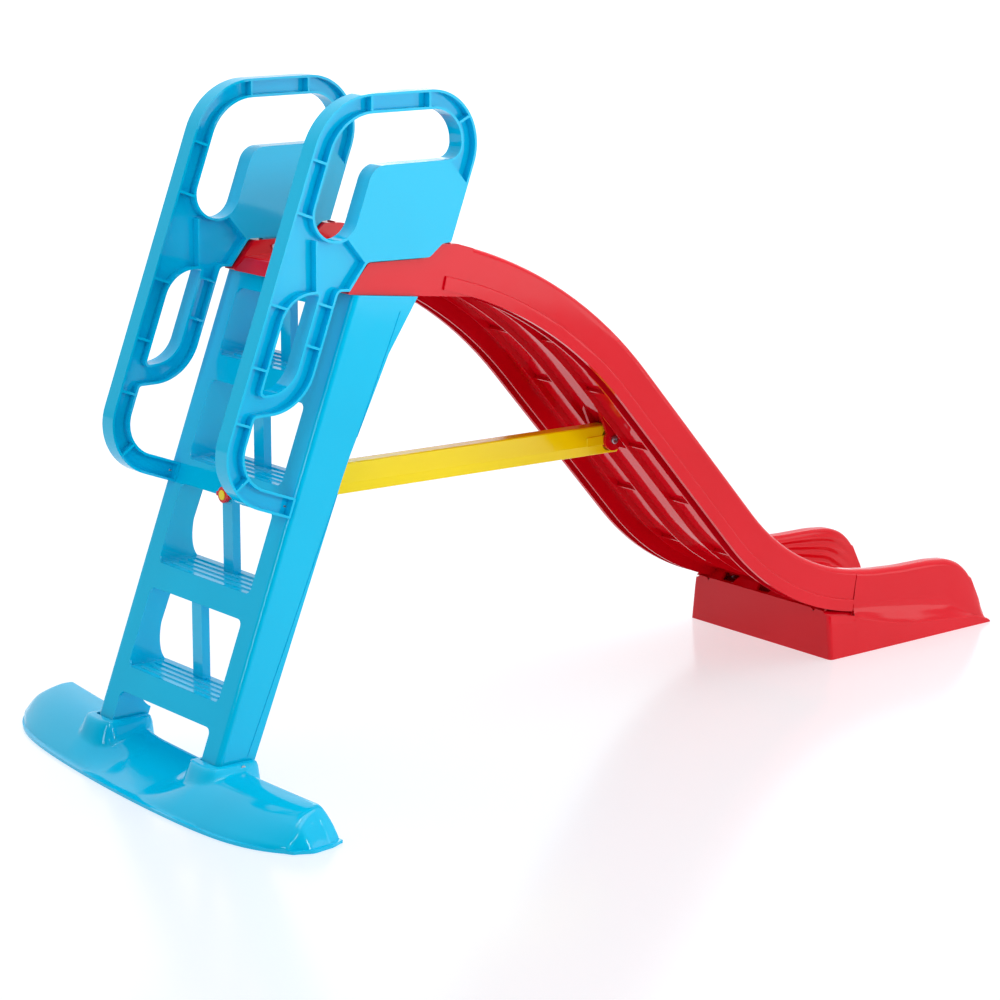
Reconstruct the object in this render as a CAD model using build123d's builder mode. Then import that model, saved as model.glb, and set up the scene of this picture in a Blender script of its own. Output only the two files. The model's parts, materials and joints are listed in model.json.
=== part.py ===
"""Toddler slide: a moulded ladder on a curved foot base, two handrails, a chute with
its exit piece, and a brace that locks the ladder to the chute.

World frame: millimetres, +Z up, +X from the ladder towards the exit, origin on the
floor at the middle of the bounding box. The side view's own x is counted from the
handrails' upright rib, and side_x moves it into the world.
"""
import math
import os

from build123d import *

os.makedirs("parts", exist_ok=True)

# ---- driving dimensions ----------------------------------------------------------
side_x = -684.0            # world x of the side view's zero
wall = 4.0                 # wall thickness of the mouldings

lean = math.radians(20.65)     # ladder's lean from the vertical
ladder_front_x = -238.0        # where the ladder's front face would meet the floor
ladder_half = 192.0            # half of the ladder's width
rail_width = 50.0              # width of each ladder rail
ladder_top = 836.4             # at its front; it falls towards the back with the deck's wall
top_fall = 0.1124
ladder_foot = 24.0
step_pitch = 177.5
first_step = 162.0
step_count = 4
riser_height = 42.0

handrail_in = 160.0            # inner and outer faces of each handrail
handrail_out = 194.0
handrail_top = 1170.0
rim = 4.5                      # handrail rim and its pocket
pocket = 15.0

chute_half = 186.0             # outer faces of the chute's double side walls
trough_half = 152.0
wall_drop = 82.0               # all drops are square to the chute's rim line
floor_drop = 46.0
band_drop = 58.0
crest_radius = 900.0
runout_radius = 480.0
rim_corners = [(288.0, 906.4), (557.7, 838.2), (1131.8, 196.4), (1304.0, 166.0)]

exit_back = 1218.0
exit_front = 1686.0
exit_half = 205.0              # at the floor
exit_half_top = 186.0
exit_height = 166.0

base_half = 480.0
base_height = 58.0

brace_start = (-58.0, 479.5)   # spigot's shoulder plane and chute pivot, side view
brace_pivot = (801.0, 469.0)
spigot_radius = 9.0
lug_radius = 21.0
pin_radius = 4.0

screw_radius = 2.5
head_radius = 4.8
head_height = 2.8


# ---- helpers ---------------------------------------------------------------------
def side(y=0.0):
    """Side-view plane at y: sketches are (x, z), and extrudes go towards -Y."""
    return Plane(origin=(side_x, y, 0), x_dir=(1, 0, 0), z_dir=(0, -1, 0))


def lean_point(up, ahead):
    """Side-view point a length up the ladder's front face and a length ahead of it."""
    x = ladder_front_x + up * math.sin(lean) - ahead * math.cos(lean)
    return (x, up * math.cos(lean) + ahead * math.sin(lean))


def ahead_at(height, ahead):
    """Side-view point at a height, on the line a length ahead of the ladder's front."""
    return lean_point((height - ahead * math.sin(lean)) / math.cos(lean), ahead)


def front_x(height):
    return ladder_front_x + height * math.tan(lean)


def top_at(x):
    """Height of the ladder's sloping top at a side-view x."""
    return ladder_top - top_fall * (x - front_x(ladder_top))


def slide_points(drop):
    """Corners of the line a drop below the chute's rim line."""
    angles = [math.atan2(b[1] - a[1], b[0] - a[0]) for a, b in zip(rim_corners, rim_corners[1:])]
    angles = [angles[0], *angles, angles[-1]]
    points = []
    for (x, z), before, after in zip(rim_corners, angles, angles[1:]):
        middle = (before + after) / 2
        reach = drop / math.cos((after - before) / 2)
        points.append((x + reach * math.sin(middle), z - reach * math.cos(middle)))
    return points


def ribbon(upper, lower):
    """Closed side-view strip between two drops below the rim line."""
    top = FilletPolyline(*slide_points(upper), radius=[crest_radius - upper, runout_radius + upper])
    low = FilletPolyline(*slide_points(lower), radius=[crest_radius - lower, runout_radius + lower])
    Line(top @ 0, low @ 0)
    Line(top @ 1, low @ 1)


def bar(start, end, width):
    """Sketch rectangle of a width along the line from start to end."""
    run_x, run_z = end[0] - start[0], end[1] - start[1]
    middle = ((start[0] + end[0]) / 2, (start[1] + end[1]) / 2)
    with Locations(Location(middle, math.degrees(math.atan2(run_z, run_x)))):
        Rectangle(math.hypot(run_x, run_z), width)


def drill(places, depth):
    """Clearance holes for screws; each place's z points from the shank to the head."""
    with Locations(*places):
        Cylinder(screw_radius + 0.1, depth, align=(Align.CENTER, Align.CENTER, Align.MAX), mode=Mode.SUBTRACT)


def export_screws(name, places, length):
    """One node of identical cross-recessed pan-head screws."""
    with BuildPart() as group:
        with Locations(*places):
            Cylinder(screw_radius, length, align=(Align.CENTER, Align.CENTER, Align.MAX))
            Cylinder(head_radius, head_height, align=(Align.CENTER, Align.CENTER, Align.MIN))
        with Locations(*[place.offset(head_height) for place in places]):
            Box(head_radius, 1.1, 2.4, mode=Mode.SUBTRACT)
            Box(1.1, head_radius, 2.4, mode=Mode.SUBTRACT)
    group.part.label = name
    export_step(group.part, f"parts/{name}.step")


front_plane = Plane(
    origin=(side_x + ladder_front_x, 0, 0),
    x_dir=(0, -1, 0),
    z_dir=(-math.cos(lean), 0, math.sin(lean)),
)
brace_run = Vector(brace_pivot[0] - brace_start[0], 0, brace_pivot[1] - brace_start[1])
brace_length = brace_run.length
brace_plane = Plane(
    origin=(side_x + brace_start[0], 0, brace_start[1]), x_dir=(0, -1, 0), z_dir=brace_run.normalized()
)
pivot_side = Plane(
    origin=(side_x + brace_pivot[0], 0, brace_pivot[1]), x_dir=(1, 0, 0), z_dir=(0, -1, 0)
)
step_heights = [first_step + step_pitch * i for i in range(step_count)]

# ---- where the screws go: each plane lies under a head, with z towards the head --------
tongue = (30.0, 12.0, 28.0)          # length, thickness and depth of a handrail's tongues
tongue_xs = (150.0, 205.0)
tongue_y = 169.0
tongue_top = 102.0                   # exit piece's rear band, under the chute's floor
handrail_y = (handrail_in + handrail_out) / 2
arm_middle = 523.0                   # up the ladder's front face
foot_screw_y = 207.0
front_normal = front_plane.z_dir
seat_places = {
    hand: [
        Plane(origin=(side_x + x, hand * (trough_half), 873), x_dir=(1, 0, 0), z_dir=(0, -hand, 0))
        for x in tongue_xs
    ]
    for hand in (1, -1)
}
arm_places = [
    Plane(
        origin=front_plane.from_local_coords((hand * handrail_y, arm_middle, -wall)),
        x_dir=(0, 1, 0),
        z_dir=front_normal * -1,
    )
    for hand in (1, -1)
]
shelf_places = [
    Plane(origin=(side_x + x, y, top_at(x) - wall), x_dir=(1, 0, -top_fall), z_dir=(-top_fall, 0, -1))
    for x in (110, 180)
    for y in (-95, 95)
]
exit_places = [
    Plane(origin=(side_x + 1258, y, tongue_top - wall), x_dir=(1, 0, 0), z_dir=(0, 0, -1))
    for y in (-120, 120)
]
foot_places = [
    Plane(origin=(side_x - 172, hand * foot_screw_y, 63), x_dir=(1, 0, 0), z_dir=(0, hand, 0))
    for hand in (1, -1)
]

# ---- ladder: one moulding with channel rails, treads, posts and a top shelf ---------
rail_back = [(210.0, top_at(210.0)), (148.0, 730.0), (59.0, 550.0), (-155.0, ladder_foot)]
rail_crease = [(172.0, 800.0), (-153.0, 75.0)]
inner_half = ladder_half - rail_width
shelf_riser = 27.0
scallop_depth = 40.0           # bites out of the rails' inner walls, one behind each opening
scallops = [(height + step_pitch / 2 - 13, step_pitch / 2 - 2) for height in step_heights[:-1]]
scallops += [(112.0, 38.0), (764.0, 56.0)]


def back_x(height):
    """Back edge of the ladder's rails at a height."""
    for (x1, z1), (x0, z0) in zip(rail_back, rail_back[1:]):
        if z0 <= height <= z1:
            return x0 + (x1 - x0) * (height - z0) / (z1 - z0)
    return rail_back[0][0]


with BuildPart() as ladder:
    with BuildSketch(side()):
        Polygon((front_x(ladder_foot), ladder_foot), (front_x(ladder_top), ladder_top), *rail_back, align=None)
    extrude(amount=ladder_half, both=True)
    front_face = ladder.faces().sort_by(Axis(front_plane.origin, front_plane.z_dir))[-1]
    fillet(front_face.edges().filter_by(Axis.Y, reverse=True), radius=11)
    with BuildSketch(side()):
        inset = wall / math.cos(lean)
        Polygon(
            (front_x(0) + inset, 0),
            (front_x(ladder_top - wall) + inset, ladder_top - wall),
            (rail_back[0][0] + wall, top_at(rail_back[0][0] + wall) - wall),
            (rail_back[0][0] + wall, 0),
            align=None,
        )
    extrude(amount=ladder_half - wall, both=True, mode=Mode.SUBTRACT)
    # openings in the front face, from the foot and each tread up to the next riser
    opening_floors = [ladder_foot - 40, *step_heights]
    opening_tops = [height - riser_height for height in step_heights] + [ladder_top - shelf_riser]
    with BuildSketch(front_plane.offset(wall)):
        for floor, top in zip(opening_floors, opening_tops):
            low, high = floor / math.cos(lean), top / math.cos(lean)
            with Locations((0, (low + high) / 2)):
                RectangleRounded(2 * inner_half, high - low, 12)
    extrude(amount=-3 * wall, mode=Mode.SUBTRACT)
    # inner walls of the rails, and a crease along each outer wall
    for y in (inner_half + wall, -inner_half):
        with BuildSketch(side(y)):
            Polygon(
                (front_x(ladder_foot) + 1, ladder_foot),
                (front_x(ladder_top) + 1, ladder_top),
                *rail_back,
                align=None,
            )
            for middle, half_height in scallops:
                with Locations(Location((back_x(middle) + 6, middle), -math.degrees(lean))):
                    Ellipse(scallop_depth, half_height, mode=Mode.SUBTRACT)
        extrude(amount=wall)
    for y in (ladder_half + 1, -ladder_half + 1):
        with BuildSketch(side(y)):
            bar(*rail_crease, 2.0)
        extrude(amount=2, mode=Mode.SUBTRACT)
    # treads with a turned-down back edge and four anti-slip ridges
    for height in step_heights:
        front, back = front_x(height) + 1, back_x(height)
        with BuildSketch(side()):
            Polygon(
                (front, height),
                (back, height),
                (back - 4, height - 9),
                (back - 8, height - 9),
                (back - 5, height - wall),
                (front + 1, height - wall),
                align=None,
            )
        extrude(amount=inner_half + 1, both=True)
        ridge_pitch = (back - front) / 5
        with BuildSketch(side()):
            for i in range(1, 5):
                with Locations((front + i * ridge_pitch, height)):
                    Polygon((-4, -1), (4, -1), (2.2, 2.2), (-2.2, 2.2), align=None)
        extrude(amount=inner_half - 20, both=True)
    # centre posts, each from a tread up to the underside of the next
    post_half, post_depth = 15.0, 16.0
    for foot, top in zip(step_heights, [*step_heights[1:], ladder_top]):
        riser_low = opening_tops[step_heights.index(foot) + 1]
        post_front = front_x(riser_low) + 2
        top_front = front_x(top - wall) + 2
        with BuildSketch(side()):
            Polygon(
                (post_front, foot - 2),
                (post_front, riser_low),
                (top_front, top - wall + 0.5),
                (top_front + 1.6 * post_depth, top - wall + 0.5),
                (post_front + post_depth, riser_low),
                (post_front + post_depth, foot - 2),
                align=None,
            )
        extrude(amount=post_half, both=True)
    # hub under the third tread that takes the brace's spigot
    with BuildSketch(brace_plane):
        Circle(spigot_radius + 9)
    extrude(amount=44)
    with BuildSketch(brace_plane.offset(-20)):
        Circle(spigot_radius)
    extrude(amount=80, mode=Mode.SUBTRACT)
    drill(shelf_places, 10)
    drill(arm_places, 10)
    drill(foot_places, 30)
ladder.part.label = "ladder"
export_step(ladder.part, "parts/ladder.step")

# ---- foot base: a hollow boat-shaped moulding with two sockets ------------------------
base_front_x, base_back_x = -318.0, -140.0


def base_outline(inset):
    """Plan outline: bowed front, blunt ends and a straight back, drawn in by inset."""
    tip = base_half - inset
    front, back = side_x + base_front_x + 0.8 * inset, side_x + base_back_x - 0.3 * inset
    end = [(front + 32, tip - 57), (front + 58, tip - 14), (front + 108 - 0.2 * inset, tip), (back, tip - 17)]
    ThreePointArc((end[0][0], -end[0][1]), (front, 0), end[0])
    Polyline(*end, *[(x, -y) for x, y in reversed(end)])


with BuildPart() as foot_base:
    with BuildSketch():
        with BuildLine():
            base_outline(0)
        make_face()
    extrude(amount=5)
    for low, high, lower, upper in ((5, base_height, 9, 56), (0, base_height - wall, 9 + wall, 56 + wall)):
        with BuildSketch(Plane.XY.offset(low)):
            with BuildLine():
                base_outline(lower)
            make_face()
        with BuildSketch(Plane.XY.offset(high)):
            with BuildLine():
                base_outline(upper)
            make_face()
        loft(mode=Mode.ADD if low else Mode.SUBTRACT)
    # raised sockets that hold the rail feet
    socket_y = ladder_half - rail_width / 2
    socket_x = side_x + (front_x(base_height) + back_x(base_height)) / 2
    with BuildSketch(Plane.XY.offset(base_height - wall)):
        for y in (-socket_y, socket_y):
            with Locations((socket_x - 6, y)):
                RectangleRounded(112, 92, 22)
    extrude(amount=18, taper=24)
    # one pocket for each rail, with clearance all round
    for y in (ladder_half + 3, -inner_half + 3):
        with BuildSketch(side(y)):
            Polygon(
                (front_x(ladder_foot) - 3, ladder_foot),
                (front_x(90) - 3, 90),
                (back_x(90) + 3, 90),
                (back_x(ladder_foot) + 3, ladder_foot),
                align=None,
            )
        extrude(amount=rail_width + 6, mode=Mode.SUBTRACT)
        # ledge the rail stands on
        with BuildSketch(Plane(origin=(socket_x - 4, y - rail_width / 2 - 3, 0))):
            RectangleRounded(96, rail_width + 14, 8)
        extrude(amount=ladder_foot)
    drill(foot_places, 14)
    with Locations(*foot_places):
        Cylinder(head_radius + 0.4, 20, align=(Align.CENTER, Align.CENTER, Align.MIN), mode=Mode.SUBTRACT)
foot_base.part.label = "foot_base"
export_step(foot_base.part, "parts/foot_base.step")

# ---- handrails: pocketed on both faces, with cross ribs and a plain panel --------------
bar_out, bar_in = 163.0, 127.0       # main bar, ahead of the ladder's front face
loop_out, loop_in = 35.0, 71.0       # inner loop's bar
grip_x, grip_low, grip_top = 302.0, 1050.0, 1137.0
loop_low, loop_high = 652.0, 688.0
arch_top = 846.0
arm_low, arm_high = 505.0, 541.0     # up the ladder's front face
panel_ahead, slot_end = 38.0, 967.0

handrail_outline = [
    (lean_point(arm_low, 0.3), 2),
    (lean_point(arm_low, bar_out), 95),
    (ahead_at(handrail_top, bar_out), 125),
    (ahead_at(handrail_top, -164.6), 96),
    ((280.4, 909), 3),
    ((262, 908), 10),
    ((234, 887), 10),
    ((104, 890), 12),
    ((66, arch_top - 2), 2),
    (ahead_at(arch_top, loop_out), 10),
    (ahead_at(loop_low, loop_out), 95),
    (ahead_at(loop_low, bar_in), 6),
    (lean_point(arm_high, bar_in), 59),
    (lean_point(arm_high, 0.3), 2),
]
grip_window = [
    (ahead_at(grip_top, bar_in), 90),
    ((grip_x, grip_top), 58),
    ((grip_x, grip_low), 26),
    (ahead_at(grip_low, panel_ahead), 35),
    (lean_point(slot_end, panel_ahead), 43),
    (lean_point(slot_end, bar_in), 43),
]
loop_window = [
    (ahead_at(arch_top, bar_in), 62),
    (ahead_at(arch_top, loop_in), 4),
    (ahead_at(loop_high, loop_in), 60),
    (ahead_at(loop_high, bar_in), 6),
]
bar_ribs = [(lean_point(up, bar_in - 2), lean_point(up, bar_out)) for up in (633, 729, 836, 992, 1083)]
loop_ribs = [(lean_point(up, loop_out), lean_point(up, loop_in)) for up in (790, 862)]
other_ribs = [
    ((115, grip_top), (115, handrail_top)),
    ((236, grip_top), (236, handrail_top)),
    ((298, 1111), (322, 1122)),
    ((270, 1054), (314, 1003)),
    ((0, 934), (0, arch_top)),
    ((62, 936), (104, 886)),
    ((-142, 551), (-172, 530)),
]
panel_outline = [(62, 936), (104, 886), (300, 880), (345, 1003), (314, 1003), (270, 1054), (70, 1070)]


def closed_path(corners):
    """Face inside a closed path of corner points with radii."""
    with BuildLine() as path:
        FilletPolyline(*[point for point, _ in corners], radius=[r for _, r in corners], close=True)
    make_face(path.edges())


with BuildSketch() as pockets:
    closed_path(handrail_outline)
    offset(amount=-rim)
    with BuildSketch(mode=Mode.PRIVATE) as window_rims:
        closed_path(grip_window)
        closed_path(loop_window)
        offset(amount=rim)
    add(window_rims.sketch, mode=Mode.SUBTRACT)
    for start, end in [*bar_ribs, *loop_ribs, *other_ribs]:
        with BuildSketch(mode=Mode.PRIVATE) as rib:
            bar(start, end, rim)
        add(rib.sketch, mode=Mode.SUBTRACT)
    with BuildSketch(mode=Mode.PRIVATE) as panel:
        Polygon(*panel_outline, align=None)
    add(panel.sketch, mode=Mode.SUBTRACT)

handrail_thickness = handrail_out - handrail_in
for name, hand in (("handrail_left", 1), ("handrail_right", -1)):
    outer_y = handrail_out if hand > 0 else -handrail_in
    with BuildPart() as handrail:
        with BuildSketch(side(outer_y)):
            closed_path(handrail_outline)
        extrude(amount=handrail_thickness)
        with BuildSketch(side(outer_y)):
            closed_path(grip_window)
            closed_path(loop_window)
        extrude(amount=handrail_thickness, mode=Mode.SUBTRACT)
        for y in (outer_y, outer_y - handrail_thickness + pocket):
            with BuildSketch(side(y)):
                add(pockets.sketch)
            extrude(amount=pocket, mode=Mode.SUBTRACT)
        # tongues that drop into the deck's hollow side wall
        for x in tongue_xs:
            with Locations((side_x + x, hand * tongue_y, 888 - tongue[2] / 2 + 2)):
                Box(*tongue)
        drill(seat_places[hand], 24)
        drill(arm_places, 14)
    handrail.part.label = name
    export_step(handrail.part, f"parts/{name}.step")

# ---- chute: hollow double side walls, grooved floor and stiffened underside ------------
deck_floor = 861.0
deck_front = (67.0, 838.0)
wall_outline = [
    (deck_front, 2),
    ((111, 887), 10),
    ((234, 884.5), 14),
    ((263, 906), 14),
    ((300, 903.3), 2),
    ((334, 893), 2),
    ((334, 808), 2),
]
wall_cavity = [(80, 800), (80, 845), (114, 883), (234, 880.5), (263, 901), (300, 899), (340, 885), (340, 800)]
rib_reach = 16.0               # of the long ribs, below the floor's top
cross_reach = 11.0
rib_thickness = 3.0
long_ribs = (40.0, 110.0)      # inner faces of the long ribs, from the chute's middle
rib_count = 8                  # cross ribs between the long ribs
lug_inner = 19.0               # the brace's end fits between the two lugs
lug_thickness = 7.0
boss_radius = 8.0
exit_boss_top = 125.0
seam_gap = 0.3                 # between mouldings that are screwed together


def rim_edges(piece, drop, half=None):
    """Long edges of a piece that run a drop below the rim line, on given side faces."""
    with BuildLine(side()) as guide:
        FilletPolyline(*slide_points(drop), radius=[crest_radius - drop, runout_radius + drop])
    halves = (half,) if half else (chute_half, trough_half)

    def on_line(edge):
        middle = edge @ 0.5
        if not any(abs(abs(middle.Y) - h) < 0.01 for h in halves):
            return False
        return guide.wires()[0].distance_to(Vector(middle.X, 0, middle.Z)) < 0.05

    return piece.edges().filter_by(on_line)


with BuildPart() as chute:
    # near double wall, solid at first so that its rim can be rounded
    with BuildSketch(side(-trough_half)):
        with BuildLine():
            ribbon(0, wall_drop)
        make_face()
    extrude(amount=chute_half - trough_half)
    fillet(rim_edges(chute, 0), radius=11)
    with BuildSketch(side(-trough_half - wall)):
        with BuildLine():
            ribbon(wall, wall_drop + 30)
        make_face()
    extrude(amount=chute_half - trough_half - 2 * wall, mode=Mode.SUBTRACT)
    # stiffening band along the foot of the outer wall
    with BuildSketch(side(-chute_half)):
        with BuildLine():
            ribbon(band_drop, wall_drop)
        make_face()
    extrude(amount=4)
    fillet(rim_edges(chute, band_drop, chute_half + 4), radius=3)
    # sliding floor with three raised lanes, and ribs under it
    for upper, lower, low_y, high_y in (
        (floor_drop, floor_drop + wall, 0, trough_half + 1),
        (floor_drop - 2.5, floor_drop + 1, 0, 26),
        (floor_drop - 2.5, floor_drop + 1, 58, 110),
        (floor_drop + wall - 1, floor_drop + rib_reach, long_ribs[0], long_ribs[0] + rib_thickness),
        (floor_drop + wall - 1, floor_drop + rib_reach, long_ribs[1], long_ribs[1] + rib_thickness),
    ):
        with BuildSketch(side(-low_y)):
            with BuildLine():
                ribbon(upper, lower)
            make_face()
        extrude(amount=high_y - low_y)
    with BuildLine(side()) as rim_line:
        FilletPolyline(*slide_points(0), radius=[crest_radius, runout_radius])
    rim_wire = rim_line.wires()[0]
    for i in range(rib_count):
        along = (i + 0.5) / rib_count
        place = Plane(origin=rim_wire @ along, x_dir=(0, -1, 0), z_dir=(rim_wire % along) * -1)
        with BuildSketch(place.offset(-rib_thickness / 2)):
            with Locations(((sum(long_ribs) + rib_thickness) / 2, -floor_drop - (wall + cross_reach) / 2 + 0.5)):
                Rectangle(long_ribs[1] - long_ribs[0], cross_reach - wall + 1)
        extrude(amount=rib_thickness)
    # deck: its wall, floor and sloping front lip
    with BuildSketch(side(-trough_half)):
        closed_path(wall_outline)
    extrude(amount=chute_half - trough_half)
    with BuildSketch(side(-trough_half - wall)):
        Polygon(*wall_cavity, align=None)
    extrude(amount=chute_half - trough_half - 2 * wall, mode=Mode.SUBTRACT)
    with BuildSketch(side()):
        floor_start = slide_points(floor_drop)[0]
        Polygon(
            deck_front,
            (86, 858),
            (92, deck_floor),
            floor_start,
            (floor_start[0] + 2, floor_start[1] - wall),
            (95, deck_floor - wall),
            (72, deck_front[1]),
            align=None,
        )
    extrude(amount=trough_half + 1)
    # slots for the handrail's tongues
    for x in tongue_xs:
        with Locations((side_x + x, -tongue_y, 884)):
            Box(tongue[0] + 1, tongue[1] + 1, 20, mode=Mode.SUBTRACT)
    # screw bosses under the deck and over the exit piece
    near_places = [place for place in [*shelf_places, *exit_places] if place.origin.Y < 0]
    for place in near_places:
        boss_top = deck_floor - 2 if place.origin.Z > deck_floor / 2 else exit_boss_top
        with Locations(place.offset(-wall - seam_gap)):
            Cylinder(
                boss_radius,
                boss_top - place.origin.Z - wall - seam_gap,
                align=(Align.CENTER, Align.CENTER, Align.MAX),
            )
    drill(near_places, 18)
    drill(seat_places[-1], 10)
    # lug for the brace, with its web up to the floor
    with BuildSketch(side(-lug_inner)):
        with Locations(brace_pivot):
            Circle(lug_radius)
        Polygon(
            (brace_pivot[0] - 16, brace_pivot[1] + 13),
            (brace_pivot[0] - 44, brace_pivot[1] + 75),
            (brace_pivot[0] + 52, brace_pivot[1] - 28),
            (brace_pivot[0] + 13, brace_pivot[1] - 16),
            align=None,
        )
        with Locations(brace_pivot):
            Circle(pin_radius + 0.2, mode=Mode.SUBTRACT)
    extrude(amount=lug_thickness)
    mirror(about=Plane.XZ)
chute.part.label = "chute"
export_step(chute.part, "parts/chute.step")

# ---- exit piece: hollow run-out with humped sides, under the chute's end ----------------
seam_top, seam_low = (1304.0 + 1.5, exit_height), (1290.0 + 1.5, 85.0)
exit_sides = [
    ((exit_back, 0), 2),
    ((exit_back + 4, 84.5), 3),
    ((seam_low[0], 84.5), 2),
    (seam_top, 4),
    ((1440, 154), 300),
    ((1626, 146), 92),
    ((exit_front, 0), 2),
]
exit_floor = [(1289, 118), (1340, 110), (1450, 96), (1560, 74), (1640, 30), (1658, 12)]


def taper_face(inset):
    """End-view trapezoid that gives the exit its drafted sides."""
    with BuildSketch(Plane(origin=(side_x + exit_back - 20, 0, 0), x_dir=(0, 1, 0), z_dir=(1, 0, 0))) as ends:
        half, half_top = exit_half - inset, exit_half_top - inset
        Polygon((-half, 0), (half, 0), (half_top, exit_height + 4), (-half_top, exit_height + 4), align=None)
    return ends.sketch


with BuildPart() as exit_block:
    with BuildSketch(side()):
        closed_path(exit_sides)
    extrude(amount=exit_half, both=True)
    extrude(taper_face(0), amount=exit_front - exit_back + 40, mode=Mode.INTERSECT)

with BuildPart() as exit_void:
    with BuildSketch(side()):
        closed_path(exit_sides)
        offset(amount=-wall)
        Polygon(
            (exit_back + wall, -1),
            (exit_back + wall, 12),
            (exit_front - 9, 12),
            (exit_front - wall, -1),
            align=None,
        )
    extrude(amount=exit_half, both=True)
    extrude(taper_face(wall), amount=exit_front - exit_back + 40, mode=Mode.INTERSECT)

with BuildPart() as trough:
    with BuildSketch(side()):
        Polygon(*exit_floor, (exit_front + 20, 12), (exit_front + 20, 240), (1200, 240), (1200, 118), align=None)
    extrude(amount=trough_half, both=True)

with BuildPart() as trough_shell:
    with BuildSketch(side()):
        lowered = [(x, z - wall) for x, z in exit_floor]
        Polygon(*lowered, (exit_front + 20, 8), (exit_front + 20, 240), (1190, 240), (1190, 114), align=None)
    extrude(amount=trough_half + wall, both=True)

with BuildPart() as exit_piece:
    add(exit_block.part)
    add(exit_void.part - trough_shell.part, mode=Mode.SUBTRACT)
    add(trough.part, mode=Mode.SUBTRACT)
    # rear band that carries the chute's end
    with BuildSketch(side()):
        Polygon(
            (exit_back + 3, 80),
            (exit_back + 16, tongue_top),
            (seam_low[0] + 5, tongue_top),
            (seam_low[0] + 5, tongue_top - wall),
            (exit_back + 19, tongue_top - wall),
            (exit_back + 7, 80),
            align=None,
        )
    extrude(amount=trough_half - 1, both=True)
    # three holes in the rear wall, and its raised lower edge
    with BuildSketch(Plane(origin=(side_x + exit_back - 5, 0, 0), x_dir=(0, 1, 0), z_dir=(1, 0, 0))):
        with GridLocations(100, 0, 3, 1):
            with Locations((0, 93)):
                Circle(9)
        with Locations((0, 4)):
            Rectangle(2 * exit_half - 60, 16)
    extrude(amount=28, mode=Mode.SUBTRACT)
    drill(exit_places, 10)
exit_piece.part.label = "exit_piece"
export_step(exit_piece.part, "parts/exit_piece.step")

# ---- brace: hollow bar with a spigot at the ladder and a cupped end at the chute --------
bar_start, cup_gap = 62.0, 2.0       # the bar starts this far behind the spigot's shoulder
bar_section = [(-12, 28), (12, 28), (17.5, 8), (15, -28), (-15, -28), (-17.5, 8)]

with BuildPart() as brace:
    with BuildSketch(brace_plane.offset(bar_start)):
        Polygon(*bar_section, align=None)
    extrude(amount=brace_length - bar_start + 20)
    fillet(brace.edges().filter_by(lambda e: e.length > 400), radius=3)
    with BuildSketch(brace_plane.offset(bar_start + 8)):
        Polygon(*bar_section, align=None)
        offset(amount=-3)
    extrude(amount=brace_length - bar_start - 8 - 40, mode=Mode.SUBTRACT)
    # rounded cup around the lug, and the lip that runs on under it
    with BuildSketch(side(40)):
        with Locations(brace_pivot):
            Circle(lug_radius + cup_gap)
            Polygon((0, -20), (60, 20), (60, 60), (-40, 60), (0, 20), align=None)
    extrude(amount=80, mode=Mode.SUBTRACT)
    # tang between the lugs, with the pivot hole
    with BuildSketch(side(lug_inner - 1)):
        with Locations(brace_pivot):
            Circle(13)
            Rectangle(60, 18, align=(Align.MAX, Align.CENTER))
            Circle(pin_radius + 0.2, mode=Mode.SUBTRACT)
    extrude(amount=2 * lug_inner - 2)
    # spigot through the ladder's hub, and its collar
    with BuildSketch(brace_plane.offset(46)):
        Circle(15)
    extrude(amount=bar_start - 46)
    with BuildSketch(brace_plane.offset(-11)):
        Circle(spigot_radius - 0.3)
    extrude(amount=61)
brace.part.label = "brace"
export_step(brace.part, "parts/brace.step")

with BuildPart() as lock_ring:
    with BuildSketch(brace_plane.offset(-9.6)):
        Circle(14)
        Rectangle(36, 7)
        Circle(spigot_radius - 0.25, mode=Mode.SUBTRACT)
    extrude(amount=8)
    fillet(lock_ring.edges().filter_by(GeomType.CIRCLE).group_by(SortBy.RADIUS)[-1], radius=1)
lock_ring.part.label = "lock_ring"
export_step(lock_ring.part, "parts/lock_ring.step")

# ---- pivot bolt and nut ---------------------------------------------------------------
lug_outer = lug_inner + lug_thickness
with BuildPart() as brace_pin:
    with BuildSketch(pivot_side.offset(-lug_outer - 9)):
        Circle(pin_radius)
    extrude(amount=2 * lug_outer + 9)
    with BuildSketch(pivot_side.offset(lug_outer)):
        Circle(8)
    extrude(amount=5)
    fillet(brace_pin.faces().sort_by(Axis.Y)[0].edges(), radius=2)
    with BuildSketch(pivot_side.offset(lug_outer + 5)):
        RegularPolygon(3, 6)
    extrude(amount=-3, mode=Mode.SUBTRACT)
brace_pin.part.label = "brace_pin"
export_step(brace_pin.part, "parts/brace_pin.step")

with BuildPart() as brace_nut:
    with BuildSketch(pivot_side.offset(-lug_outer - 6.5)):
        RegularPolygon(7.5, 6)
        Circle(pin_radius, mode=Mode.SUBTRACT)
    extrude(amount=6.5)
brace_nut.part.label = "brace_nut"
export_step(brace_nut.part, "parts/brace_nut.step")

# ---- screws -------------------------------------------------------------------------
export_screws("handrail_left_screws", seat_places[1], 22)
export_screws("handrail_right_screws", seat_places[-1], 22)
export_screws("arm_screws", arm_places, 12)
export_screws("deck_screws", shelf_places, 16)
export_screws("exit_screws", exit_places, 16)
export_screws("foot_screws", foot_places, 20)
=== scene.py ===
"""Looks for the toddler slide: rounded mouldings in glossy blue, red and yellow plastic,
zinc-plated fasteners, a white studio and a camera at the product shot's angle."""
import json
import math

import bmesh
import bpy
from mathutils import Matrix, Vector

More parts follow.
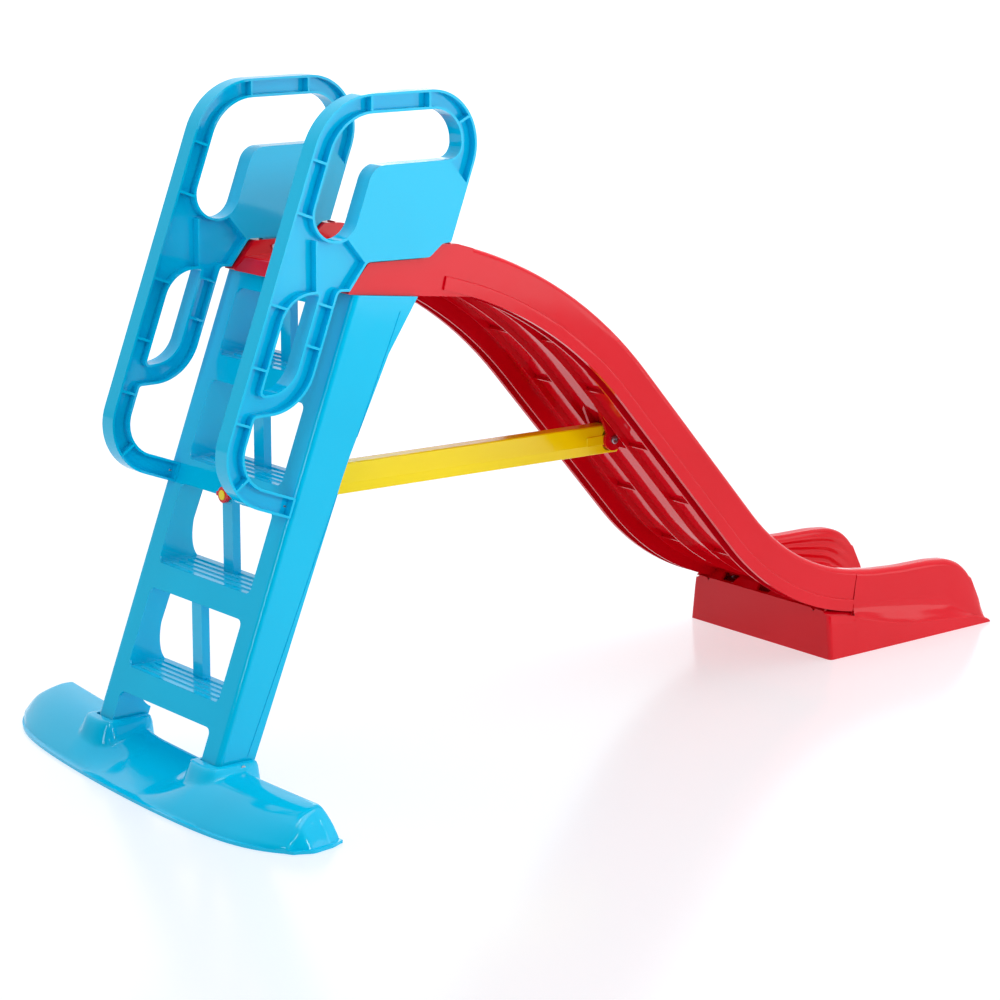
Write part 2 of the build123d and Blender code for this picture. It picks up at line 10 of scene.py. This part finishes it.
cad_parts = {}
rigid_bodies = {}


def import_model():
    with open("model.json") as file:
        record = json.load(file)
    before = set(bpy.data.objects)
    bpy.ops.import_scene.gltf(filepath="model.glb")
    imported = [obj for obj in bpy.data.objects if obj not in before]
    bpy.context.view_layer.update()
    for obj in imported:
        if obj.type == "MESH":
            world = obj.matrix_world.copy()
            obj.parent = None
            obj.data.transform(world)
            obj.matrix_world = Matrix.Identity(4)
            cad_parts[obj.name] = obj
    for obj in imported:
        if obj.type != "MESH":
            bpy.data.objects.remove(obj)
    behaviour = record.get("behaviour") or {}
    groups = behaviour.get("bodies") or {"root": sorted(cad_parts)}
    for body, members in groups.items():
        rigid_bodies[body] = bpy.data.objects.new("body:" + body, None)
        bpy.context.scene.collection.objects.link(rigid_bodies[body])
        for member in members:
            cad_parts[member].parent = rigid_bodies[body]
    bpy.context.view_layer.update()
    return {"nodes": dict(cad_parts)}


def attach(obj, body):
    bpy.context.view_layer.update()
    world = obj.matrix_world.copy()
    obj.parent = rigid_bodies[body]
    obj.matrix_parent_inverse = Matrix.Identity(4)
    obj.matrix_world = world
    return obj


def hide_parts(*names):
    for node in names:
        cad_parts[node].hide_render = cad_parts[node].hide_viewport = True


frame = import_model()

nodes = frame["nodes"]
ROOT = "frame"
SIDE_X = -0.684          # world x of the side view's zero, as in the CAD


# ---- materials -----------------------------------------------------------------------
def node_group(name):
    """An empty material with its node tree, Principled shader and object coordinates."""
    material = bpy.data.materials.new(name)
    material.use_nodes = True
    tree = material.node_tree
    shader = tree.nodes["Principled BSDF"]
    coords = tree.nodes.new("ShaderNodeTexCoord")
    return material, tree, shader, coords


def noise(tree, coords, scale, detail, roughness=0.5):
    """Noise between 0 and 1, fixed to the object."""
    texture = tree.nodes.new("ShaderNodeTexNoise")
    texture.inputs["Scale"].default_value = scale
    texture.inputs["Detail"].default_value = detail
    texture.inputs["Roughness"].default_value = roughness
    tree.links.new(coords.outputs["Object"], texture.inputs["Vector"])
    return texture.outputs["Fac"]


def ramp(tree, value, low, high, start=0.3, end=0.7):
    """Maps a value to a colour or grey between two stops."""
    colors = tree.nodes.new("ShaderNodeValToRGB")
    colors.color_ramp.elements[0].position = start
    colors.color_ramp.elements[1].position = end
    colors.color_ramp.elements[0].color = low
    colors.color_ramp.elements[1].color = high
    tree.links.new(value, colors.inputs["Fac"])
    return colors.outputs["Color"]


def bump(tree, height, strength, distance, normal=None):
    """Bumped normal, laid over another one where it is given."""
    node = tree.nodes.new("ShaderNodeBump")
    node.inputs["Strength"].default_value = strength
    node.inputs["Distance"].default_value = distance
    tree.links.new(height, node.inputs["Height"])
    if normal:
        tree.links.new(normal, node.inputs["Normal"])
    return node.outputs["Normal"]


def grey(value):
    return (value, value, value, 1)


def moulded_plastic(name, deep, bright, low_gloss, high_gloss, coat):
    """Moulded polyethylene: slow colour drift, slightly wavy walls and a fine uneven gloss."""
    material, tree, shader, coords = node_group(name)
    drift = noise(tree, coords, 3.1, 2.0)
    tree.links.new(ramp(tree, drift, (*deep, 1), (*bright, 1)), shader.inputs["Base Color"])
    skin = noise(tree, coords, 46.0, 5.0, 0.6)
    gloss = ramp(tree, skin, grey(low_gloss), grey(high_gloss), 0.35, 0.75)
    tree.links.new(gloss, shader.inputs["Roughness"])
    waves = bump(tree, noise(tree, coords, 9.0, 1.0), 0.35, 0.0016)
    peel = bump(tree, noise(tree, coords, 420.0, 2.0), 0.10, 0.0002, waves)
    tree.links.new(peel, shader.inputs["Normal"])
    shader.inputs["IOR"].default_value = 1.5
    shader.inputs["Specular IOR Level"].default_value = 0.28
    shader.inputs["Coat Weight"].default_value = coat
    shader.inputs["Coat Roughness"].default_value = 0.06
    shader.inputs["Subsurface Weight"].default_value = 0.0
    return material


def plated_steel(name):
    """Zinc-plated fastener: mottled plating over a fine grain."""
    material, tree, shader, coords = node_group(name)
    mottled = noise(tree, coords, 140.0, 6.0, 0.65)
    plating = ramp(tree, mottled, (0.30, 0.32, 0.36, 1), (0.62, 0.64, 0.68, 1))
    tree.links.new(plating, shader.inputs["Base Color"])
    tree.links.new(ramp(tree, mottled, grey(0.42), grey(0.24)), shader.inputs["Roughness"])
    tree.links.new(bump(tree, noise(tree, coords, 900.0, 3.0), 0.25, 0.0002), shader.inputs["Normal"])
    shader.inputs["Metallic"].default_value = 1.0
    return material


blue = moulded_plastic("blue_moulding", (0.0, 0.50, 0.79), (0.0, 0.545, 0.85), 0.055, 0.12, 0.05)
red = moulded_plastic("red_moulding", (0.66, 0.001, 0.008), (0.74, 0.002, 0.013), 0.055, 0.12, 0.05)
yellow = moulded_plastic("yellow_moulding", (0.95, 0.71, 0.0), (1.0, 0.76, 0.001), 0.12, 0.24, 0.06)
steel = plated_steel("zinc_steel")
finishes = {
    "foot_base": blue,
    "ladder": blue,
    "handrail_left": blue,
    "handrail_right": blue,
    "chute": red,
    "exit_piece": red,
    "lock_ring": red,
    "brace": yellow,
}
bevels = {
    "foot_base": 0.003,
    "ladder": 0.0022,
    "handrail_left": 0.0013,
    "handrail_right": 0.0013,
    "chute": 0.0012,
    "exit_piece": 0.0025,
    "lock_ring": 0.0008,
    "brace": 0.0012,
}


def soften(obj, width):
    """Rounds an imported node's edges: joins its seams, then bevels what is sharp."""
    weld = obj.modifiers.new("weld", "WELD")
    weld.merge_threshold = 0.00002
    planar = obj.modifiers.new("planar", "DECIMATE")
    planar.decimate_type = "DISSOLVE"
    planar.angle_limit = math.radians(0.6)
    bevel = obj.modifiers.new("bevel", "BEVEL")
    bevel.width = width
    bevel.segments = 3
    bevel.limit_method = "ANGLE"
    bevel.angle_limit = math.radians(32)
    bevel.use_clamp_overlap = True
    bevel.harden_normals = False
    obj.data.shade_smooth()
    smooth = obj.modifiers.new("normals", "WEIGHTED_NORMAL")
    smooth.keep_sharp = False
    smooth.weight = 60


for name, obj in nodes.items():
    obj.data.materials.clear()
    obj.data.materials.append(finishes.get(name, steel))
    soften(obj, bevels.get(name, 0.0003))


# ---- foot base: one continuous skin, from its bowed lip up to the two sockets ------------
def smooth(value, low, high):
    """0 below low, 1 above high, and an S curve between."""
    t = min(max((value - low) / (high - low), 0.0), 1.0)
    return t * t * (3 - 2 * t)


def soft_min(values, power=5.0):
    """Smallest of some heights between 0 and 1, with the ridge between them rounded."""
    total = sum(max(v, 0.02) ** -power for v in values) - (len(values) - 1)
    return total ** (-1 / power)


def interpolate(x, points):
    """A line through the points, halfway between straight and eased."""
    for (x0, y0), (x1, y1) in zip(points, points[1:]):
        if x <= x1:
            t = (x - x0) / (x1 - x0)
            return y0 + (y1 - y0) * t * t * (3 - 2 * t) * 0.5 + (y1 - y0) * t * 0.5
    return points[-1][1]


SOCKET_Y, SOCKET_TOP = 167.0, 70.0
POCKET_HALF = 28.5       # half width of the pocket that takes a rail
END_CURVE = [(0.0, 446.0), (0.12, 465.0), (0.42, 479.5), (0.75, 476.0), (1.0, 466.0)]
YAW = 0.050              # the base sits a little askew in its sockets


def socket_side(y):
    """1 across a socket's width and 0 away from it."""
    return smooth(52.0 - abs(abs(y) - SOCKET_Y), 0.0, 17.0)


def base_point(u, t):
    """Side-view x, y and z of the skin; u runs front to back and t from end to end."""
    end = interpolate(u, END_CURVE)
    y = t * end
    front = -310.0 + 30.0 * t * t + 42.0 * abs(t) ** 7 + YAW * y
    back = -152.0 + 22.0 * t * t + YAW * y
    back += (-131.0 - back) * socket_side(y)
    x = front + (back - front) * u
    from_front, from_back, from_end = x - front, back - x, end - abs(y)
    rear = 1 - (1 - min(max((from_back - 1.0) / 15.0, 0.0), 1.0)) ** 2.6
    slope = 1 - (1 - min(max((from_front - 7.0) / 112.0, 0.0), 1.0)) ** 2.1
    tip = 1 - (1 - min(max((from_end - 7.0) / 46.0, 0.0), 1.0)) ** 2.0
    hump = 53.5 * soft_min([slope, rear, tip])
    fall = min(max((from_front - 7.0) / 150.0, 0.0), 1.0)
    saddle = 45.0 * soft_min([0.5 * fall + 0.5 * fall ** 2, rear])
    weight = smooth(abs(y), 60.0, 195.0)
    height = saddle + (hump - saddle) * weight
    corner = 22.0 * max(0.0, abs(abs(y) - SOCKET_Y) / 50.0) ** 3
    socket = socket_side(y) * smooth(x - corner, -254.0, -231.0) * rear
    height += (SOCKET_TOP - 4.5 - height) * socket
    return x, y, 4.5 + height


def lean_x(height):
    """Side-view x of the ladder's front at a height."""
    return -238.0 + 0.3768 * height


def cut(target, cutter):
    """Takes cutter's closed mesh out of target's and removes cutter."""
    modifier = target.modifiers.new("cut", "BOOLEAN")
    modifier.operation = "DIFFERENCE"
    modifier.solver = "EXACT"
    modifier.object = cutter
    bpy.context.view_layer.update()
    carved = bpy.data.meshes.new_from_object(target.evaluated_get(bpy.context.evaluated_depsgraph_get()))
    target.modifiers.clear()
    target.data = carved
    bpy.data.objects.remove(cutter)


def new_object(name, mesh, material=None):
    obj = bpy.data.objects.new(name, mesh)
    bpy.context.scene.collection.objects.link(obj)
    if material:
        mesh.materials.append(material)
    return obj


def paint(obj, material):
    obj.data.materials.clear()
    obj.data.materials.append(material)


def round_edges(obj, width, segments, degrees=None):
    """Bevels the edges that are sharper than an angle, or Blender's usual ones."""
    bevel = obj.modifiers.new("bevel", "BEVEL")
    bevel.width = width
    bevel.segments = segments
    if degrees:
        bevel.limit_method = "ANGLE"
        bevel.angle_limit = math.radians(degrees)


def grid_faces(strips, stride):
    """Quads between neighbouring rows of stride points."""
    corners = (0, 1, 1 + stride, stride)
    starts = (i * stride + j for i in range(strips) for j in range(stride - 1))
    return [tuple(start + corner for corner in corners) for start in starts]


def closed_mesh(name, points, faces):
    """Mesh from side-view points in millimetres, with its faces turned outwards."""
    mesh = bpy.data.meshes.new(name)
    mesh.from_pydata([(SIDE_X + x / 1000, y / 1000, z / 1000) for x, y, z in points], [], faces)
    mesh.update()
    bm = bmesh.new()
    bm.from_mesh(mesh)
    bmesh.ops.remove_doubles(bm, verts=bm.verts, dist=0.00001)
    bmesh.ops.recalc_face_normals(bm, faces=bm.faces)
    bm.to_mesh(mesh)
    bm.free()
    return mesh


def loft(name, first, second):
    """Closed solid between two outlines with the same number of points."""
    count = len(first)
    faces = [tuple(range(count)), tuple(range(2 * count - 1, count - 1, -1))]
    faces += [(i, i + count, (i + 1) % count + count, (i + 1) % count) for i in range(count)]
    return new_object(name, closed_mesh(name, [*first, *second], faces))


def prism(name, outline, y0, y1):
    """Closed prism over a side-view outline (x, z) between two y's."""
    return loft(name, [(x, y0, z) for x, z in outline], [(x, y1, z) for x, z in outline])


def build_foot_base():
    """The skin over the base, closed down to the floor, with a pocket for each rail."""
    across, along = 56, 260
    ends = [i / along * 2 - 1 for i in range(along + 1)]
    verts = [base_point(j / across, t) for t in ends for j in range(across + 1)]
    stride = across + 1
    faces = grid_faces(along, stride)
    rim = list(range(stride))
    rim += [i * stride + across for i in range(1, along + 1)]
    rim += [along * stride + j for j in range(across - 1, -1, -1)]
    rim += [i * stride for i in range(along - 1, 0, -1)]
    foot = len(verts)
    for index in rim:
        x, y, _ = verts[index]
        verts.append((x, y, 0.0))
    count = len(rim)
    for k in range(count):
        n = (k + 1) % count
        faces.append((rim[k], rim[n], foot + n, foot + k))
    faces.append(tuple(foot + k for k in range(count)))
    obj = new_object("foot_base_skin", closed_mesh("foot_base_skin", verts, faces))
    for side_y in (-SOCKET_Y, SOCKET_Y):
        outline = [(lean_x(24) - 3.5, 24), (lean_x(95) - 3.5, 95), (-121.0, 95), (-151.5, 24)]
        cutter = prism("pocket", outline, side_y - POCKET_HALF, side_y + POCKET_HALF)
        round_edges(cutter, 0.007, 4)
        cut(obj, cutter)
    paint(obj, blue)
    obj.data.shade_smooth()
    obj.data.set_sharp_from_angle(angle=math.radians(42))
    round_edges(obj, 0.0014, 2, 50)
    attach(obj, ROOT)
    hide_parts("foot_base")


build_foot_base()

# ---- exit piece: humped sides with rolled rims, a trough and a rear band with holes ------
# side-view outlines in millimetres, from the seam with the chute to the front lip
RIM_LINE = [
    (1304, 166), (1360, 158), (1430, 153), (1520, 151.5), (1575, 146),
    (1612, 130), (1642, 99), (1664, 58), (1678, 22), (1684, 6),
]
TROUGH_LINE = [(1289, 118), (1340, 110), (1450, 96), (1560, 72), (1625, 32), (1658, 10), (1684, 3)]
UPPER_CREASE = [(1285, 92), (1380, 92), (1474, 82), (1575, 61), (1614, 34), (1684, 3)]
LOWER_CREASE = [(1285, 76), (1380, 50), (1453, 37), (1560, 27), (1657, 17), (1684, 2)]
SEAM, WALLS_START, NOSE_START, EXIT_END = 1291.5, 1304, 1640, 1684
SEAM_LEAN = 14.0         # how far the seam leans forward over its height
INNER_Y = 152.5          # inside of the side walls
WALL_CURVE = 9.0         # radius where those walls meet the rim and the floor
# the box behind the seam: its top falls from its rear to the seam
BOX_TOP, BOX_RISE = 84.0, 12.0
BOX_REAR, BOX_FRONT, BOX_CORNER = 1218.0, 1291, 9.0


def line_at(x, points):
    """Height of a broken line at x."""
    if x <= points[0][0]:
        return points[0][1]
    for (x0, y0), (x1, y1) in zip(points, points[1:]):
        if x <= x1:
            return y0 + (y1 - y0) * (x - x0) / (x1 - x0)
    return points[-1][1]


def curve_at(x, points, reach=9.0):
    """A broken line with its corners softened."""
    return sum(line_at(x + reach * k, points) for k in (-1.5, -0.75, 0, 0.75, 1.5)) / 5


def quarter(steps, first=0):
    """(cosine, sine) pairs over a quarter turn."""
    turns = [math.pi / 2 * k / steps for k in range(first, steps + 1)]
    return [(math.cos(turn), math.sin(turn)) for turn in turns]


def exit_section(x, boxed):
    """Half section from the outer foot over the rim to the middle: (y, z) pairs."""
    foot_y = 204.5 - 2.0 * smooth(x, 1300, 1680)
    inset = max(BOX_CORNER - (x - BOX_REAR), 0.0)
    foot_y -= BOX_CORNER - math.sqrt(BOX_CORNER ** 2 - inset ** 2)
    box_top = BOX_TOP + BOX_RISE * max(BOX_FRONT - x, 0) / (BOX_FRONT - BOX_REAR)
    rim = box_top if boxed else line_at(x, RIM_LINE) if x > NOSE_START else curve_at(x, RIM_LINE)
    floor = box_top if boxed else min(curve_at(x, TROUGH_LINE), rim - 1.0)
    upper = box_top - 8 if boxed else min(curve_at(x, UPPER_CREASE), 0.66 * rim)
    lower = box_top - 24 if boxed else min(curve_at(x, LOWER_CREASE), 0.45 * rim)
    roll = min(13.0, 0.35 * rim)
    tier = 0.0 if boxed else 1.0
    upper_y = foot_y - 0.115 * upper - 7.5 * tier
    lower_y = foot_y - 0.105 * lower
    # outside: foot, lower panel, crease, hollowed middle panel, crease, upper panel
    section = [(foot_y, 0.0), (foot_y - 0.2, 1.5)]
    section += [(foot_y - 0.105 * lower * k / 5, lower * k / 5) for k in range(1, 5)]
    section += [(lower_y + 0.1, lower - 1.2), (lower_y - 2.2 * tier, lower + 1.0)]
    for k in range(1, 5):
        hollow = 2.6 * tier * math.sin(math.pi * k / 5)
        section.append((lower_y + (upper_y - lower_y) * k / 5 - hollow, lower + (upper - lower) * k / 5))
    section += [(upper_y + 0.3 * tier, upper - 1.0), (upper_y - 0.2, upper + 1.4)]
    top_y = min(187.0, upper_y)
    for k in range(1, 4):
        section.append((upper_y + (top_y - upper_y) * k / 4, upper + (rim - roll - upper) * k / 4))
    # rolled rim, then down the fluted inside to the floor
    section += [(top_y - roll + roll * c, rim - roll + roll * s) for c, s in quarter(8)]
    drop = min(WALL_CURVE, roll)
    section += [(INNER_Y + WALL_CURVE * (1 - s), rim - drop * (1 - c)) for c, s in quarter(6, 1)]
    wall_top = rim - drop
    wall_low = min(floor + WALL_CURVE, wall_top)
    fade = smooth(x, 1320, 1380) * (1 - smooth(x, 1560, 1640)) * tier
    for k in range(1, 25):
        down = k / 25
        flute = 3.2 * fade * math.sin(math.pi * 3 * down) ** 2
        section.append((INNER_Y - flute, wall_top + (wall_low - wall_top) * down))
    rise = min(WALL_CURVE, wall_top - floor)
    section += [(INNER_Y - WALL_CURVE * (1 - c), floor + rise * (1 - s)) for c, s in quarter(6)]
    section += [(y, floor) for y in (130, 100, 60, 20)]
    return section


def build_exit_piece():
    """The exit piece's skin and, as a second piece, the band with holes behind it."""
    turns = [math.radians(turn) for turn in (8, 18, 30, 44, 60, 76)]
    straight = BOX_FRONT - BOX_REAR - BOX_CORNER
    stations = [(BOX_REAR + BOX_CORNER * (1 - math.cos(turn)), True) for turn in turns]
    stations += [(BOX_REAR + BOX_CORNER + straight * k / 8, True) for k in range(9)]
    stations += [(SEAM, False)]
    stations += [(WALLS_START + (NOSE_START - WALLS_START) * k / 48, False) for k in range(49)]
    stations += [(NOSE_START + (EXIT_END - NOSE_START) * k / 22, False) for k in range(1, 23)]
    verts = []
    for x, boxed in stations:
        half = exit_section(x if boxed else max(x, WALLS_START), boxed)
        ring = [(-y, z) for y, z in half] + [(y, z) for y, z in reversed(half)]
        for y, z in ring:
            up_seam = min(max((z - 84.5) / 81.5, -0.1), 1.0)
            verts.append((x + (SEAM_LEAN * up_seam if x == SEAM else 0.0), y, z))
    stride = len(half) * 2
    strips = len(stations) - 1
    faces = grid_faces(strips, stride)
    for a in range(0, strips * stride, stride):
        faces.append((a + stride - 1, a, a + stride, a + 2 * stride - 1))
    last = strips * stride
    faces += [tuple(range(stride)), tuple(range(last + stride - 1, last - 1, -1))]
    mesh = closed_mesh("exit_skin", verts, faces)
    obj = new_object("exit_skin", mesh, red)
    mesh.shade_smooth()
    mesh.set_sharp_from_angle(angle=math.radians(38))
    round_edges(obj, 0.0022, 3, 50)
    obj.modifiers.new("normals", "WEIGHTED_NORMAL").keep_sharp = True
    # sloping rear band with three holes, under the chute's end
    outline = [(1220, 94), (1236, 108), (1250, 116), (1254, 113), (1241, 104), (1226, 92)]
    band = prism("exit_band", outline, -178, 190)
    corners = [(-16, 96.0), (16, 96.0), (23, 110.0), (-23, 110.0)]
    for middle in (-103.5, 0, 103.5):
        near, far = ([(x, middle + dy, z) for dy, z in corners] for x in (1205, 1262))
        cut(band, loft("hole", near, far))
    paint(band, red)
    round_edges(band, 0.001, 2)
    for piece in (obj, band):
        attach(piece, ROOT)
        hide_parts("exit_piece")


build_exit_piece()

# ---- studio --------------------------------------------------------------------------
lit = bpy.data.collections.new("lit_by_softboxes")
for obj in bpy.context.scene.objects:
    if obj.type == "MESH":
        lit.objects.link(obj)


def area_light(name, place, target, size, size_y, power):
    """Softbox aimed at a point; it lights the slide and leaves the floor alone."""
    light = bpy.data.lights.new(name, "AREA")
    light.shape = "RECTANGLE"
    light.size, light.size_y = size, size_y
    light.energy = power
    obj = bpy.data.objects.new(name, light)
    bpy.context.scene.collection.objects.link(obj)
    obj.location = place
    obj.rotation_euler = (Vector(target) - Vector(place)).to_track_quat("-Z", "Y").to_euler()
    obj.light_linking.receiver_collection = lit


def build_floor():
    """Pale glossy floor that glows a little, just below the slide's feet."""
    mesh = bpy.data.meshes.new("floor")
    half, level = 30.0, -0.0005
    corners = [(-half, -half), (half, -half), (half, half), (-half, half)]
    mesh.from_pydata([(x, y, level) for x, y in corners], [], [(0, 1, 2, 3)])
    floor = bpy.data.objects.new("floor", mesh)
    bpy.context.scene.collection.objects.link(floor)
    material, _, shader, _ = node_group("studio_floor")
    shader.inputs["Base Color"].default_value = (0.60, 0.61, 0.625, 1)
    shader.inputs["Roughness"].default_value = 0.18
    shader.inputs["Specular IOR Level"].default_value = 0.35
    shader.inputs["Emission Color"].default_value = (0.97, 0.98, 1, 1)
    shader.inputs["Emission Strength"].default_value = 0.60
    mesh.materials.append(material)


build_floor()
area_light("key", (0.0, -4.3, 1.75), (-0.3, 0, 0.7), 1.0, 0.8, 40)
area_light("wall", (2.7, -3.3, 0.9), (-0.3, 0, 0.6), 2.4, 1.7, 21)
area_light("left", (-4.2, -0.9, 1.9), (-0.6, 0, 0.6), 0.9, 1.5, 26)
area_light("left_strip", (-2.7, -2.9, 3.0), (-0.4, 0, 0.2), 0.07, 2.2, 20)
area_light("right_strip", (2.6, -2.6, 2.8), (0.3, 0, 0.3), 0.07, 2.2, 20)
area_light("top_strip", (-0.2, 0.5, 3.6), (-0.2, 0, 0.5), 2.6, 0.07, 16)
area_light("top", (0.2, -0.2, 3.8), (0.1, 0, 0.4), 3.0, 1.0, 22)
area_light("rear", (2.8, 2.8, 2.2), (0, 0, 0.5), 2.4, 1.2, 20)


def build_world():
    """White room that is dim on the camera's side, so that near faces keep their colour."""
    world = bpy.data.worlds.new("studio")
    bpy.context.scene.world = world
    world.use_nodes = True
    tree = world.node_tree
    coords = tree.nodes.new("ShaderNodeTexCoord")
    towards = tree.nodes.new("ShaderNodeVectorMath")
    towards.operation = "DOT_PRODUCT"
    towards.inputs[1].default_value = Vector((0.72, 0.50, 0.48)).normalized()
    tree.links.new(coords.outputs["Generated"], towards.inputs[0])
    spread = tree.nodes.new("ShaderNodeMapRange")
    spread.interpolation_type = "SMOOTHSTEP"
    spread.inputs["From Min"].default_value = -0.55
    spread.inputs["From Max"].default_value = 0.75
    spread.inputs["To Min"].default_value = 0.04
    spread.inputs["To Max"].default_value = 1.0
    tree.links.new(towards.outputs["Value"], spread.inputs["Value"])
    room = tree.nodes["Background"]
    room.inputs["Color"].default_value = (0.95, 0.965, 1.0, 1)
    tree.links.new(spread.outputs["Result"], room.inputs["Strength"])
    seen = tree.nodes.new("ShaderNodeBackground")
    seen.inputs["Color"].default_value = (1, 1, 1, 1)
    seen.inputs["Strength"].default_value = 1.0
    path = tree.nodes.new("ShaderNodeLightPath")
    mix = tree.nodes.new("ShaderNodeMixShader")
    tree.links.new(path.outputs["Is Camera Ray"], mix.inputs["Fac"])
    tree.links.new(room.outputs["Background"], mix.inputs[1])
    tree.links.new(seen.outputs["Background"], mix.inputs[2])
    tree.links.new(mix.outputs["Shader"], tree.nodes["World Output"].inputs["Surface"])


build_world()

# ---- camera ---------------------------------------------------------------------------
yaw, pitch, roll = 0.678, 0.229, 0.004
forward = Vector((math.sin(yaw) * math.cos(pitch), math.cos(yaw) * math.cos(pitch), -math.sin(pitch)))
level_right = Vector((math.cos(yaw), -math.sin(yaw), 0))
level_up = level_right.cross(forward)
right = math.cos(roll) * level_right + math.sin(roll) * level_up
up = -math.sin(roll) * level_right + math.cos(roll) * level_up
lens = bpy.data.cameras.new("camera")
lens.lens = 105.68
lens.sensor_width = 36.0
camera = bpy.data.objects.new("camera", lens)
bpy.context.scene.collection.objects.link(camera)
camera.matrix_world = Matrix((
    (right.x, up.x, -forward.x, -3.4602),
    (right.y, up.y, -forward.y, -4.1243),
    (right.z, up.z, -forward.z, 1.6176),
    (0, 0, 0, 1),
))
bpy.context.scene.camera = camera
bpy.context.scene.view_settings.view_transform = "Standard"
bpy.context.scene.view_settings.look = "None"
